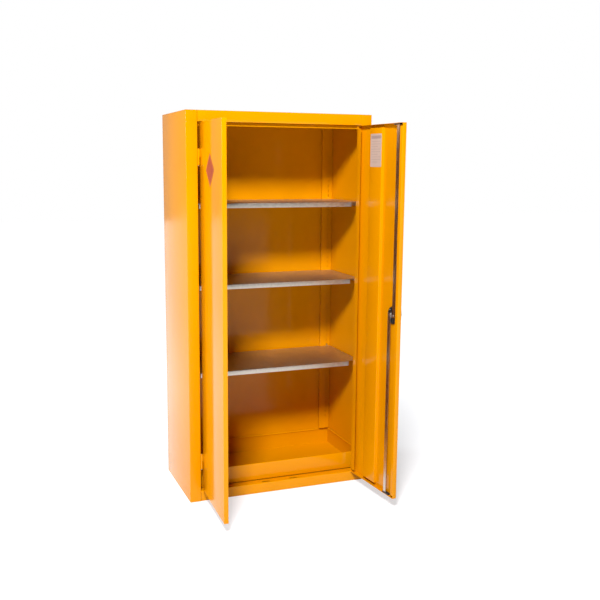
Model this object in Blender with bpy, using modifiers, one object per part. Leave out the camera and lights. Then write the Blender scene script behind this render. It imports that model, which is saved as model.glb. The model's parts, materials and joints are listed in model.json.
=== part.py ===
"""Two-door flammable storage cabinet in folded sheet steel.

The frame's origin is the centre of the cabinet's underside, on the floor. +Z is up, the doors
are on the -Y side and the back panel on the +Y side. Both doors are modelled standing open.
All lengths are in metres and all angles in degrees.
"""

import math

import bmesh
import bpy
from mathutils import Matrix, Vector

# Overall size of the closed carcass.
WIDTH = 0.900
DEPTH = 0.460
HEIGHT = 1.800
HALF_WIDTH = WIDTH / 2
FRONT_Y = -DEPTH / 2
BACK_Y = DEPTH / 2

# Sheet steel and the gap between pieces that touch.
SHEET = 0.0012
GAP = 0.0003

# Carcass.
STILE_WIDTH = 0.052
STILE_X = HALF_WIDTH - STILE_WIDTH
STILE_RETURN = 0.025
REAR_RETURN = 0.015
SIDE_TOP = HEIGHT - SHEET - 2 * GAP
REAR_FOLD_Y = BACK_Y - SHEET - GAP
RAIL_HEIGHT = 0.050
RAIL_Z = HEIGHT - RAIL_HEIGHT
RAIL_RETURN = 0.040
STOP_Y = FRONT_Y + 0.0215
STOP_DROP = 0.0155
STOP_LEG = 0.0135
LEDGE_Z = 0.050
LEDGE_DEPTH = 0.0462
LEDGE_DOWNTURN = 0.015
FOOT_FLANGE = 0.025

# Sump tray and the channel that carries it.
SUMP_SHEET = 0.0015
SUMP_FLOOR_Z = 0.0503
SUMP_RIM_Z = 0.134
SUMP_FRONT_Y = FRONT_Y + 0.0468
SUMP_BACK_Y = REAR_FOLD_Y - SHEET - GAP
SUMP_HALF_WIDTH = HALF_WIDTH - SHEET - 0.0005
CHANNEL_SHEET = 0.002
CHANNEL_WIDTH = 0.100
CHANNEL_HEIGHT = 0.050

# Slotted uprights in the four inner corners.
UPRIGHT_FRONT_INNER_X = 0.4005
UPRIGHT_REAR_INNER_X = 0.391
UPRIGHT_OUTER_X = 0.448
UPRIGHT_FRONT_WEB_Y = FRONT_Y + 0.0245
UPRIGHT_REAR_WEB_Y = BACK_Y - 0.018
UPRIGHT_BOTTOM_Z = 0.137
UPRIGHT_TOP_Z = 1.795
SLOT_X = 0.426
SLOT_WIDTH = 0.0045
SLOT_HEIGHT = 0.012
SLOT_PITCH = 0.025
SLOT_COUNT = 58

# Shelves: the height of each deck, and whether its clips are hooked in upside down.
SHELF_SHEET = 0.001
SHELF_TOPS = {"upper": (1.3900, False), "middle": (1.0150, False), "lower": (0.6025, True)}
SHELF_LIP = 0.022
SHELF_RETURN = 0.012
SHELF_HEM = 0.003
SHELF_FRONT_Y = FRONT_Y + 0.055
SHELF_BACK_Y = UPRIGHT_REAR_WEB_Y - 0.0035
SHELF_HALF_WIDTH = 0.443
SHELF_NOTCH_X = 0.379
SHELF_NOTCH_DEPTH = 0.010

# Shelf clips. A clip's hook sits a quarter of the slot pitch below the deck, or above it when
# the clip is turned over, so turning the clips over moves a shelf by half a pitch.
CLIP_OFFSET = SLOT_PITCH / 4
CLIP_PLATE = 0.003
CLIP_TONGUE_WIDTH = 0.016
CLIP_TONGUE_SHEET = 0.002
CLIP_FRONT_REACH = 0.055
CLIP_REAR_REACH = 0.037
CLIP_GUSSET_REACH = 0.012
LOWEST_SLOT_Z = SHELF_TOPS["upper"][0] - SHELF_SHEET - CLIP_OFFSET - 47 * SLOT_PITCH

# Doors. A place on a door is given as its distance from the hinge axis towards the free edge,
# its depth behind the door's outer face, and its height above the floor.
HINGE_X = 0.395
AXIS_PROUD = 0.0048
OPEN_ANGLE = {"left": 92.2, "right": 94.15}
DOOR_BOTTOM = 0.053
DOOR_TOP = 1.747
DOOR_HINGE_EDGE = 0.003
DOOR_FREE_EDGE = 0.3935
DOOR_THICKNESS = 0.020
DOOR_HINGE_LIP = 0.035
DOOR_FREE_LIP = 0.020
DOOR_LIP_SETBACK = 0.010
DOOR_HEM = 0.003
STIFFENER_START = 0.116
STIFFENER_END = 0.219
STIFFENER_DEPTH = 0.013
STIFFENER_BRIM = 0.012
STIFFENER_BOTTOM = 0.070
STIFFENER_TOP = 1.732

# Hinges: the height of each one's foot on both doors.
HINGE_FEET = {"lower": 0.161, "upper": 1.561}
HINGE_LENGTH = 0.072
KNUCKLE_RADIUS = 0.0045
HINGE_PIN_RADIUS = 0.002
LEAF_SHEET = 0.0015
LEAF_REACH = 0.0180

# Lock on the right door.
LOCK_FROM_AXIS = 0.333
LOCK_Z = 0.900
LOCK_RADIUS = 0.040
LOCK_BODY_INNER = 0.0085
CAM_START = 0.0088
CAM_END = 0.0118
CAM_PIN_ARM = 0.018
CAM_PIN_RADIUS = 0.003
SHAFT_RADIUS = 0.007
SHAFT_END_RADIUS = 0.005
BEZEL_RADIUS = 0.045
BEZEL_THICKNESS = 0.006
HANDLE_HUB_RADIUS = 0.026
HANDLE_HUB_HEIGHT = 0.014
HANDLE_GRIP_LENGTH = 0.092
HANDLE_GRIP_WIDTH = 0.018
HANDLE_GRIP_HEIGHT = 0.016
KEY_BARREL_RADIUS = 0.007
KEY_BARREL_DEPTH = 0.008

# Flat rods and bolts, and the slots they run in.
ROD_WIDTH = 0.020
ROD_START = 0.0121
ROD_END = 0.0155
ROD_MIDDLE = (ROD_START + ROD_END) / 2
ROD_RETRACT = 0.001
ROD_SLOT_LENGTH = 0.042
ROD_SLOT_WIDTH = 0.009
GUIDE_HEIGHT = 0.006
GUIDE_BORDER = 0.003
BOLT_FROM_AXIS = 0.325
BOLT_LENGTH = 0.150
BOLT_TAB_WIDTH = 0.010
BOLT_TAB_HEIGHT = 0.016
BOLT_TAB_END = 0.0235
STRAP_HEIGHT = 0.030
STRAP_OFFSET = 0.075
STRAP_SHEET = 0.0015

# Labels.
DIAMOND_FROM_AXIS = 0.192
DIAMOND_Z = 1.541
DIAMOND_SIDE = 0.100
NOTICE_FROM_AXIS = 0.170
NOTICE_Z = 1.632
NOTICE_WIDTH = 0.095
NOTICE_HEIGHT = 0.148
LABEL_THICKNESS = 0.0005

OVERCUT = 0.010

# Finishes: colour, roughness and metallic value.
FINISHES = {
    "yellow_paint": ((1.000, 0.402, 0.000), 0.28, 0.0),
    "galvanised_steel": ((0.420, 0.420, 0.410), 0.38, 0.9),
    "bright_steel": ((0.620, 0.600, 0.560), 0.30, 1.0),
    "black_plastic": ((0.012, 0.012, 0.013), 0.45, 0.0),
    "red_label": ((0.600, 0.020, 0.020), 0.35, 0.0),
    "pale_label": ((0.720, 0.660, 0.640), 0.50, 0.0),
}


def clear_scene():
    for item in list(bpy.data.objects):
        bpy.data.objects.remove(item, do_unlink=True)
    for group in list(bpy.data.collections):
        bpy.data.collections.remove(group)


def make_collection(name):
    group = bpy.data.collections.new(name)
    bpy.context.scene.collection.children.link(group)
    return group


def make_material(node, finish):
    colour, roughness, metallic = FINISHES[finish]
    material = bpy.data.materials.new(f"{node}_{finish}")
    material.use_nodes = True
    shader = material.node_tree.nodes["Principled BSDF"]
    shader.inputs["Base Color"].default_value = (*colour, 1.0)
    shader.inputs["Roughness"].default_value = roughness
    shader.inputs["Metallic"].default_value = metallic
    material.diffuse_color = (*colour, 1.0)
    return material


clear_scene()
PARTS = make_collection("flammable_storage_cabinet")
CUTTERS = make_collection("cutters")


def mesh_from(name, shape):
    """Turn a bmesh into mesh data and free it."""
    bmesh.ops.recalc_face_normals(shape, faces=shape.faces)
    mesh = bpy.data.meshes.new(name)
    shape.to_mesh(mesh)
    shape.free()
    return mesh


def add_part(name, mesh, finish, parent=None):
    part = bpy.data.objects.new(name, mesh)
    mesh.materials.append(make_material(name, finish))
    PARTS.objects.link(part)
    part.parent = parent
    return part


def add_cutter(name, mesh, parent=None):
    cutter = bpy.data.objects.new(name, mesh)
    cutter.hide_render = True
    cutter.display_type = "WIRE"
    CUTTERS.objects.link(cutter)
    cutter.parent = parent
    return cutter


def combine(part, tool, operation):
    modifier = part.modifiers.new(f"{operation.lower()}_{tool.name}", "BOOLEAN")
    modifier.operation = operation
    modifier.solver = "EXACT"
    modifier.object = tool


def boxes_mesh(name, boxes):
    """One mesh of separate boxes, each given by its low and high corners."""
    shape = bmesh.new()
    for low, high in boxes:
        low, high = Vector(low), Vector(high)
        size = high - low
        place = Matrix.Translation((low + high) / 2) @ Matrix.Diagonal((*size, 1.0))
        bmesh.ops.create_cube(shape, size=1.0, matrix=place)
    return mesh_from(name, shape)


def add_box(name, low, high, finish, parent=None):
    return add_part(name, boxes_mesh(name, [(low, high)]), finish, parent)


def cut_boxes(part, boxes):
    """Cut one or more boxes, given in the part's parent's frame, out of a part."""
    name = f"{part.name}_cutter_{len(part.modifiers)}"
    combine(part, add_cutter(name, boxes_mesh(name, boxes), part.parent), "DIFFERENCE")


def join_boxes(part, boxes):
    name = f"{part.name}_join_{len(part.modifiers)}"
    combine(part, add_cutter(name, boxes_mesh(name, boxes), part.parent), "UNION")


def folded_sheet(name, path, axis, start, end, sheet, finish, parent=None, mirrored=False):
    """A folded sheet: a path of bends drawn across an axis and run along it.

    The path is (x, y) for axis Z and (y, z) for axis X. The metal lies on its left, seen from
    the far end of the axis. A mirrored sheet has its x reversed.
    """
    if mirrored:
        path = [(-x, y) for x, y in reversed(path)]
    shape = bmesh.new()
    rows = []
    for height in (start, end):
        if axis == "Z":
            rows.append([shape.verts.new((x, y, height)) for x, y in path])
        else:
            rows.append([shape.verts.new((height, y, z)) for y, z in path])
    for index in range(len(path) - 1):
        near, far = rows
        shape.faces.new((near[index], near[index + 1], far[index + 1], far[index]))
    mesh = bpy.data.meshes.new(name)
    shape.to_mesh(mesh)
    shape.free()
    part = add_part(name, mesh, finish, parent)
    solidify = part.modifiers.new("sheet", "SOLIDIFY")
    solidify.thickness = sheet
    solidify.offset = -1.0
    solidify.use_even_offset = True
    return part


def cylinder_mesh(name, centre, radius, depth, axis="Y", segments=24):
    """A closed cylinder centred on a point, along Y or Z."""
    turn = Matrix.Rotation(math.radians(90), 4, "X") if axis == "Y" else Matrix.Identity(4)
    shape = bmesh.new()
    bmesh.ops.create_cone(
        shape,
        cap_ends=True,
        segments=segments,
        radius1=radius,
        radius2=radius,
        depth=depth,
        matrix=Matrix.Translation(Vector(centre)) @ turn,
    )
    mesh = mesh_from(name, shape)
    mesh.shade_smooth()
    mesh.set_sharp_from_angle(angle=math.radians(35))
    return mesh


def add_cylinder(name, centre, radius, depth, finish, parent=None, axis="Y", segments=24):
    mesh = cylinder_mesh(name, centre, radius, depth, axis, segments)
    return add_part(name, mesh, finish, parent)


def cut_cylinder(part, centre, radius, depth, axis="Y", segments=24):
    name = f"{part.name}_bore_{len(part.modifiers)}"
    mesh = cylinder_mesh(name, centre, radius, depth, axis, segments)
    combine(part, add_cutter(name, mesh, part.parent), "DIFFERENCE")


def join_cylinder(part, centre, radius, depth, axis="Y", segments=24):
    name = f"{part.name}_boss_{len(part.modifiers)}"
    mesh = cylinder_mesh(name, centre, radius, depth, axis, segments)
    combine(part, add_cutter(name, mesh, part.parent), "UNION")


def make_side_panel(side):
    """Side wall with its front stile, the stile's return and a narrow rear return."""
    path = [
        (STILE_X, FRONT_Y + STILE_RETURN),
        (STILE_X, FRONT_Y),
        (HALF_WIDTH, FRONT_Y),
        (HALF_WIDTH, REAR_FOLD_Y),
        (HALF_WIDTH - REAR_RETURN, REAR_FOLD_Y),
    ]
    name = f"side_panel_{side}"
    folded_sheet(name, path, "Z", 0, SIDE_TOP, SHEET, "yellow_paint", mirrored=side == "left")


def make_back_panel():
    half = HALF_WIDTH - 0.0005
    add_box("back_panel", (-half, BACK_Y - SHEET, 0), (half, BACK_Y, SIDE_TOP), "yellow_paint")


def make_top_panel():
    """Roof with the rail over the doors, slotted for the bolts."""
    path = [
        (BACK_Y, HEIGHT),
        (FRONT_Y, HEIGHT),
        (FRONT_Y, RAIL_Z),
        (FRONT_Y + RAIL_RETURN, RAIL_Z),
    ]
    top = folded_sheet(
        "top_panel", path, "X", -HALF_WIDTH, HALF_WIDTH, SHEET, "yellow_paint"
    )
    rail_end = STILE_X - GAP
    corner_top = HEIGHT - SHEET - GAP
    cut_boxes(
        top,
        [
            ((x, FRONT_Y - OVERCUT, RAIL_Z - OVERCUT), (x + OVERCUT + STILE_WIDTH, 0, corner_top))
            for x in (rail_end, -rail_end - OVERCUT - STILE_WIDTH)
        ],
    )
    cut_boxes(top, rod_slots(RAIL_Z, rod_slot_centres("upper")))


def rod_slot_centres(end):
    """The X of the slots for the right door's rod and the left door's bolt.

    A rod is carried sideways by its cam pin as the lock turns, so its slot is a pin's arm
    nearer to the lock than the rod is at rest.
    """
    swing = CAM_PIN_ARM / 2 if end == "upper" else -CAM_PIN_ARM / 2
    return (HINGE_X - LOCK_FROM_AXIS - swing, BOLT_FROM_AXIS - HINGE_X)


def rod_slots(z, centres):
    y = FRONT_Y + ROD_MIDDLE
    return [
        (
            (x - ROD_SLOT_LENGTH / 2, y - ROD_SLOT_WIDTH / 2, z - OVERCUT),
            (x + ROD_SLOT_LENGTH / 2, y + ROD_SLOT_WIDTH / 2, z + OVERCUT),
        )
        for x in centres
    ]


def make_top_door_stop():
    """Angle under the top rail that the doors' upper edges close against."""
    leg_z = RAIL_Z - GAP
    path = [(STOP_Y + STOP_LEG, leg_z), (STOP_Y, leg_z), (STOP_Y, leg_z - STOP_DROP)]
    half = STILE_X - GAP
    folded_sheet("top_door_stop", path, "X", -half, half, SHEET, "yellow_paint")


def make_base_rail():
    """Plinth under the doors: foot flange, front face and the slotted ledge."""
    ledge_y = FRONT_Y + LEDGE_DEPTH
    path = [
        (ledge_y, LEDGE_Z - LEDGE_DOWNTURN),
        (ledge_y, LEDGE_Z),
        (FRONT_Y, LEDGE_Z),
        (FRONT_Y, 0),
        (FRONT_Y + FOOT_FLANGE, 0),
    ]
    half = STILE_X - GAP
    rail = folded_sheet("base_rail", path, "X", -half, half, SHEET, "yellow_paint")
    cut_boxes(rail, rod_slots(LEDGE_Z, rod_slot_centres("lower")))


def make_sump_tray():
    """Leak-tight tray in the cabinet's foot, an open box of sheet."""
    low = Vector((-SUMP_HALF_WIDTH, SUMP_FRONT_Y, SUMP_FLOOR_Z))
    high = Vector((SUMP_HALF_WIDTH, SUMP_BACK_Y, SUMP_RIM_Z))
    mesh = boxes_mesh("sump_tray", [(low, high)])
    shape = bmesh.new()
    shape.from_mesh(mesh)
    lid = [face for face in shape.faces if face.normal.z > 0.5]
    bmesh.ops.delete(shape, geom=lid, context="FACES")
    shape.to_mesh(mesh)
    shape.free()
    tray = add_part("sump_tray", mesh, "yellow_paint")
    solidify = tray.modifiers.new("sheet", "SOLIDIFY")
    solidify.thickness = SUMP_SHEET
    solidify.offset = -1.0
    solidify.use_even_offset = True


def make_base_channel():
    """Channel lying flat on the floor, which carries the middle of the sump tray."""
    half = CHANNEL_WIDTH / 2
    path = [(-half, CHANNEL_HEIGHT), (-half, 0), (half, 0), (half, CHANNEL_HEIGHT)]
    reach = SUMP_HALF_WIDTH
    folded_sheet("base_channel", path, "X", -reach, reach, CHANNEL_SHEET, "yellow_paint")


def make_upright(end, side):
    """Vertical channel in one inner corner with a column of slots for the shelf clips."""
    if end == "front":
        web, back = UPRIGHT_FRONT_WEB_Y, FRONT_Y + SHEET + 4 * GAP
        path = [
            (UPRIGHT_OUTER_X, back),
            (UPRIGHT_OUTER_X, web),
            (UPRIGHT_FRONT_INNER_X, web),
            (UPRIGHT_FRONT_INNER_X, back),
        ]
    else:
        web, back = UPRIGHT_REAR_WEB_Y, SUMP_BACK_Y
        path = [
            (UPRIGHT_REAR_INNER_X, back),
            (UPRIGHT_REAR_INNER_X, web),
            (UPRIGHT_OUTER_X, web),
            (UPRIGHT_OUTER_X, back),
        ]
    upright = folded_sheet(
        f"upright_{end}_{side}",
        path,
        "Z",
        UPRIGHT_BOTTOM_Z,
        UPRIGHT_TOP_Z,
        SHEET,
        "yellow_paint",
        mirrored=side == "left",
    )
    x = SLOT_X if side == "right" else -SLOT_X
    depth = SHEET + 0.002
    slots = []
    for index in range(SLOT_COUNT):
        z = LOWEST_SLOT_Z + index * SLOT_PITCH
        low = (x - SLOT_WIDTH / 2, web - depth, z - SLOT_HEIGHT / 2)
        high = (x + SLOT_WIDTH / 2, web + depth, z + SLOT_HEIGHT / 2)
        slots.append((low, high))
    cut_boxes(upright, slots)


def make_shelf_clip(level, end, side):
    """Bent clip whose hook hangs in an upright's slot and whose tongue carries a shelf."""
    top, flipped = SHELF_TOPS[level]
    deck = top - SHELF_SHEET
    hook_z = deck + CLIP_OFFSET if flipped else deck - CLIP_OFFSET
    if end == "front":
        web, inward, reach = UPRIGHT_FRONT_WEB_Y, 1, CLIP_FRONT_REACH
    else:
        web, inward, reach = UPRIGHT_REAR_WEB_Y, -1, CLIP_REAR_REACH
    x = SLOT_X if side == "right" else -SLOT_X

    def block(half_width, near, far, low_z, high_z):
        ends = sorted((web + inward * near, web + inward * far))
        return ((x - half_width, ends[0], low_z), (x + half_width, ends[1], high_z))

    plate = CLIP_PLATE / 2
    behind_web = -(SHEET + 0.0005)
    name = f"shelf_clip_{level}_{end}_{side}"
    tongue = block(CLIP_TONGUE_WIDTH / 2, GAP, reach, deck - GAP - CLIP_TONGUE_SHEET, deck - GAP)
    clip = add_box(name, *tongue, "bright_steel")
    gusset = block(plate, 2 * GAP, CLIP_GUSSET_REACH, hook_z - 0.0100, hook_z + 0.0043)
    neck = block(plate - 0.0002, -0.0055, 0.0060, hook_z - 0.0045, hook_z + 0.0040)
    hook = block(plate - 0.0004, -0.0050, behind_web, hook_z - 0.0090, hook_z + 0.0030)
    for piece in (gusset, neck, hook):
        join_boxes(clip, [piece])


def make_shelf(level):
    """Galvanised tray shelf, upside down, with its corners notched for the uprights."""
    top = SHELF_TOPS[level][0]
    low_z = top - SHELF_LIP
    half, lip = SHELF_HALF_WIDTH, SHELF_RETURN
    shelf = add_box(
        f"shelf_{level}",
        (-half, SHELF_FRONT_Y, low_z),
        (half, SHELF_BACK_Y, top),
        "galvanised_steel",
    )
    inside = half - SHELF_SHEET
    cut_boxes(
        shelf,
        [
            (
                (-inside, SHELF_FRONT_Y + SHELF_SHEET, low_z + SHELF_SHEET),
                (inside, SHELF_BACK_Y - SHELF_SHEET, top - SHELF_SHEET),
            )
        ],
    )
    cut_boxes(
        shelf,
        [
            (
                (-inside + SHELF_HEM, SHELF_FRONT_Y + lip, low_z - OVERCUT),
                (inside - SHELF_HEM, SHELF_BACK_Y - lip, low_z + SHELF_LIP / 2),
            )
        ],
    )
    notches = []
    for x in (SHELF_NOTCH_X, -SHELF_NOTCH_X - 2 * STILE_WIDTH):
        for y in (
            SHELF_FRONT_Y + SHELF_NOTCH_DEPTH - OVERCUT * 2,
            SHELF_BACK_Y - SHELF_NOTCH_DEPTH,
        ):
            low = (x, y, low_z - OVERCUT)
            high = (x + 2 * STILE_WIDTH, y + 2 * OVERCUT, top + OVERCUT)
            notches.append((low, high))
    cut_boxes(shelf, notches)


class Door:
    """A door's frame, on its hinge axis, and the places of things on it.

    In the frame the closed door runs along +X on the left door and along -X on the right one.
    """

    def __init__(self, side):
        self.side = side
        self.sign = 1 if side == "left" else -1
        self.frame = bpy.data.objects.new(f"door_{side}_hinge_axis", None)
        PARTS.objects.link(self.frame)
        self.frame.location = (-self.sign * HINGE_X, FRONT_Y - AXIS_PROUD, 0)
        self.frame.rotation_euler.z = math.radians(-self.sign * OPEN_ANGLE[side])

    def point(self, from_axis, depth, z):
        return (self.sign * from_axis, AXIS_PROUD + depth, z)

    def block(self, near, far, shallow, deep, low_z, high_z):
        ends = sorted((self.sign * near, self.sign * far))
        return ((ends[0], AXIS_PROUD + shallow, low_z), (ends[1], AXIS_PROUD + deep, high_z))

    def frame_block(self, near, far, shallow, deep, low_z, high_z):
        """The same box as block gives, in the cabinet's frame with the door shut."""
        low, high = self.block(near, far, shallow, deep, low_z, high_z)
        shift = Vector((-self.sign * HINGE_X, FRONT_Y - AXIS_PROUD, 0))
        return (tuple(Vector(low) + shift), tuple(Vector(high) + shift))


def make_door_pan(door):
    """Outer skin with flanges on four sides, and lips turned in on the two long ones.

    The lips stop short of the corners, and the one on the hinge side is the wider of the two.
    """
    pan = add_box(
        f"door_{door.side}_pan",
        *door.block(DOOR_HINGE_EDGE, DOOR_FREE_EDGE, 0, DOOR_THICKNESS, DOOR_BOTTOM, DOOR_TOP),
        "yellow_paint",
        door.frame,
    )
    near, far = DOOR_HINGE_EDGE, DOOR_FREE_EDGE
    inside_low, inside_high = DOOR_BOTTOM + SHEET, DOOR_TOP - SHEET
    back = DOOR_THICKNESS - SHEET
    cavity = door.block(near + SHEET, far - SHEET, SHEET, back, inside_low, inside_high)
    mouth_low, mouth_high = inside_low + DOOR_HEM, inside_high - DOOR_HEM
    between_lips = (near + DOOR_HINGE_LIP, far - DOOR_FREE_LIP)
    between_hems = (near + SHEET + DOOR_HEM, far - SHEET - DOOR_HEM)
    mouths = [
        (*between_lips, mouth_low + DOOR_LIP_SETBACK / 2, mouth_high - DOOR_LIP_SETBACK / 2),
        (*between_hems, mouth_low, mouth_low + DOOR_LIP_SETBACK),
        (*between_hems, mouth_high - DOOR_LIP_SETBACK, mouth_high),
    ]
    cut_boxes(pan, [cavity])
    for start, end, low_z, high_z in mouths:
        cut_boxes(pan, [door.block(start, end, back / 2, back + OVERCUT, low_z, high_z)])
    return pan


def flange_slot(door, middle, z):
    half = ROD_SLOT_LENGTH / 2
    shallow = ROD_MIDDLE - ROD_SLOT_WIDTH / 2
    deep = ROD_MIDDLE + ROD_SLOT_WIDTH / 2
    return door.block(middle - half, middle + half, shallow, deep, z - OVERCUT, z + OVERCUT)


def make_door_stiffener(door):
    """Top-hat section spot-welded to the inside of the skin."""
    foot = AXIS_PROUD + SHEET + GAP
    crown = foot + STIFFENER_DEPTH
    path = [
        (STIFFENER_START - STIFFENER_BRIM, foot),
        (STIFFENER_START, foot),
        (STIFFENER_START, crown),
        (STIFFENER_END, crown),
        (STIFFENER_END, foot),
        (STIFFENER_END + STIFFENER_BRIM, foot),
    ]
    folded_sheet(
        f"door_{door.side}_stiffener",
        path,
        "Z",
        STIFFENER_BOTTOM,
        STIFFENER_TOP,
        SHEET,
        "yellow_paint",
        door.frame,
        mirrored=door.side == "right",
    )


def make_hinge(door, level):
    """Lift-off hinge: a frame leaf below, a door leaf above, and the pin they share."""
    foot = HINGE_FEET[level]
    split = foot + HINGE_LENGTH / 2
    top = foot + HINGE_LENGTH
    name = f"{level}_{door.side}"
    axis_x = -door.sign * HINGE_X
    axis_y = FRONT_Y - AXIS_PROUD
    knuckle = HINGE_LENGTH / 2 - GAP
    tab_end = KNUCKLE_RADIUS + 0.004 - AXIS_PROUD
    plate_start = KNUCKLE_RADIUS + 0.0015 - AXIS_PROUD

    fixed_plate = (-DOOR_HINGE_EDGE + GAP, -DOOR_HINGE_EDGE + GAP + LEAF_SHEET)
    frame_leaf = add_box(
        f"hinge_frame_leaf_{name}",
        *door.frame_block(*fixed_plate, plate_start, LEAF_REACH, foot, top),
        "yellow_paint",
    )
    tab = door.frame_block(
        fixed_plate[0] + 0.0002,
        fixed_plate[1] - 0.0002,
        -AXIS_PROUD,
        tab_end,
        foot + 0.0005,
        foot + knuckle - 0.0005,
    )
    join_boxes(frame_leaf, [tab])
    low_middle = (axis_x, axis_y, foot + knuckle / 2)
    join_cylinder(frame_leaf, low_middle, KNUCKLE_RADIUS, knuckle, "Z", 16)
    cut_cylinder(frame_leaf, low_middle, HINGE_PIN_RADIUS + GAP, knuckle + OVERCUT, "Z", 16)

    moving_plate = (DOOR_HINGE_EDGE - GAP - LEAF_SHEET, DOOR_HINGE_EDGE - GAP)
    door_leaf = add_box(
        f"hinge_door_leaf_{name}",
        *door.block(*moving_plate, plate_start, LEAF_REACH, foot, top),
        "yellow_paint",
        door.frame,
    )
    tab = door.block(
        moving_plate[0] + 0.0002,
        moving_plate[1] - 0.0002,
        -AXIS_PROUD,
        tab_end,
        split + GAP + 0.0005,
        top - 0.0005,
    )
    join_boxes(door_leaf, [tab])
    high_middle = (0, 0, split + GAP + knuckle / 2)
    join_cylinder(door_leaf, high_middle, KNUCKLE_RADIUS, knuckle, "Z", 16)
    cut_cylinder(door_leaf, high_middle, HINGE_PIN_RADIUS + GAP, knuckle + OVERCUT, "Z", 16)

    pin_foot = foot - 0.0015
    pin_length = HINGE_LENGTH + 0.0030
    pin = add_cylinder(
        f"hinge_pin_{name}",
        (axis_x, axis_y, pin_foot + pin_length / 2),
        HINGE_PIN_RADIUS,
        pin_length,
        "bright_steel",
        axis="Z",
        segments=16,
    )
    head_height = 0.0020
    head_middle = (axis_x, axis_y, pin_foot - head_height / 2 + 0.0010)
    join_cylinder(pin, head_middle, KNUCKLE_RADIUS - 0.0007, head_height, "Z", 16)


def make_lock(door):
    """Lock housing, outer bezel, turning handle with its shaft, cam and key barrel."""
    middle = LOCK_FROM_AXIS
    bore = SHAFT_RADIUS + GAP
    body_start = SHEET + GAP
    body_depth = LOCK_BODY_INNER - body_start
    body_middle = door.point(middle, body_start + body_depth / 2, LOCK_Z)
    body = add_cylinder(
        "lock_body", body_middle, LOCK_RADIUS, body_depth, "black_plastic", door.frame,
        segments=40,
    )
    cut_cylinder(body, body_middle, bore, body_depth + OVERCUT)

    bezel_middle = door.point(middle, -GAP - BEZEL_THICKNESS / 2, LOCK_Z)
    bezel = add_cylinder(
        "handle_bezel", bezel_middle, BEZEL_RADIUS, BEZEL_THICKNESS, "black_plastic", door.frame,
        segments=40,
    )
    cut_cylinder(bezel, bezel_middle, bore, BEZEL_THICKNESS + OVERCUT)

    hub_base = -GAP - BEZEL_THICKNESS - GAP
    hub_front = hub_base - HANDLE_HUB_HEIGHT
    handle = add_cylinder(
        "handle",
        door.point(middle, (hub_base + hub_front) / 2, LOCK_Z),
        HANDLE_HUB_RADIUS,
        HANDLE_HUB_HEIGHT,
        "black_plastic",
        door.frame,
        segments=32,
    )
    half_grip, half_width = HANDLE_GRIP_LENGTH / 2, HANDLE_GRIP_WIDTH / 2
    grip_front = hub_front - HANDLE_GRIP_HEIGHT
    grip = door.block(
        middle - half_width,
        middle + half_width,
        grip_front,
        hub_front + 0.006,
        LOCK_Z - half_grip,
        LOCK_Z + half_grip,
    )
    join_boxes(handle, [grip])
    shaft_end = LOCK_BODY_INNER
    shaft_start = hub_base - 0.004
    shaft_middle = door.point(middle, (shaft_start + shaft_end) / 2, LOCK_Z)
    join_cylinder(handle, shaft_middle, SHAFT_RADIUS, shaft_end - shaft_start)
    nose_start = shaft_end - 0.003
    nose_middle = door.point(middle, (nose_start + CAM_END) / 2, LOCK_Z)
    join_cylinder(handle, nose_middle, SHAFT_END_RADIUS, CAM_END - nose_start)
    barrel_middle = grip_front + KEY_BARREL_DEPTH / 2
    barrel_place = door.point(middle, barrel_middle, LOCK_Z)
    cut_cylinder(
        handle,
        door.point(middle, barrel_middle - OVERCUT / 2, LOCK_Z),
        KEY_BARREL_RADIUS + GAP,
        KEY_BARREL_DEPTH + OVERCUT + 2 * GAP,
    )

    barrel = add_cylinder(
        "key_barrel", barrel_place, KEY_BARREL_RADIUS, KEY_BARREL_DEPTH, "bright_steel",
        door.frame,
    )
    keyway = door.block(
        middle - 0.0008,
        middle + 0.0008,
        grip_front - OVERCUT,
        grip_front + 0.005,
        LOCK_Z - 0.0040,
        LOCK_Z + 0.0040,
    )
    cut_boxes(barrel, [keyway])

    cam_reach = CAM_PIN_ARM + 0.009
    cam = add_box(
        "lock_cam",
        *door.block(
            middle - cam_reach, middle + cam_reach, CAM_START, CAM_END,
            LOCK_Z - 0.010, LOCK_Z + 0.010,
        ),
        "bright_steel",
        door.frame,
    )
    cam_centre = door.point(middle, (CAM_START + CAM_END) / 2, LOCK_Z)
    cut_cylinder(cam, cam_centre, SHAFT_END_RADIUS + GAP, OVERCUT)
    pin_start = CAM_START + 0.001
    pin_end = ROD_END + 0.0015
    for arm in (-CAM_PIN_ARM, CAM_PIN_ARM):
        pin_middle = door.point(middle + arm, (pin_start + pin_end) / 2, LOCK_Z)
        join_cylinder(cam, pin_middle, CAM_PIN_RADIUS, pin_end - pin_start, segments=16)


def make_lock_rod(door, end):
    """Flat rod from a cam pin to just inside the gap over or under the door."""
    if end == "upper":
        middle = LOCK_FROM_AXIS + CAM_PIN_ARM
        low_z, high_z = LOCK_Z - ROD_WIDTH / 2, DOOR_TOP + ROD_RETRACT
    else:
        middle = LOCK_FROM_AXIS - CAM_PIN_ARM
        low_z, high_z = DOOR_BOTTOM - ROD_RETRACT, LOCK_Z + ROD_WIDTH / 2
    half = ROD_WIDTH / 2
    rod = add_box(
        f"lock_rod_{end}",
        *door.block(middle - half, middle + half, ROD_START, ROD_END, low_z, high_z),
        "bright_steel",
        door.frame,
    )
    hole = door.point(middle, ROD_MIDDLE, LOCK_Z)
    cut_cylinder(rod, hole, CAM_PIN_RADIUS + GAP, OVERCUT, segments=16)


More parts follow.
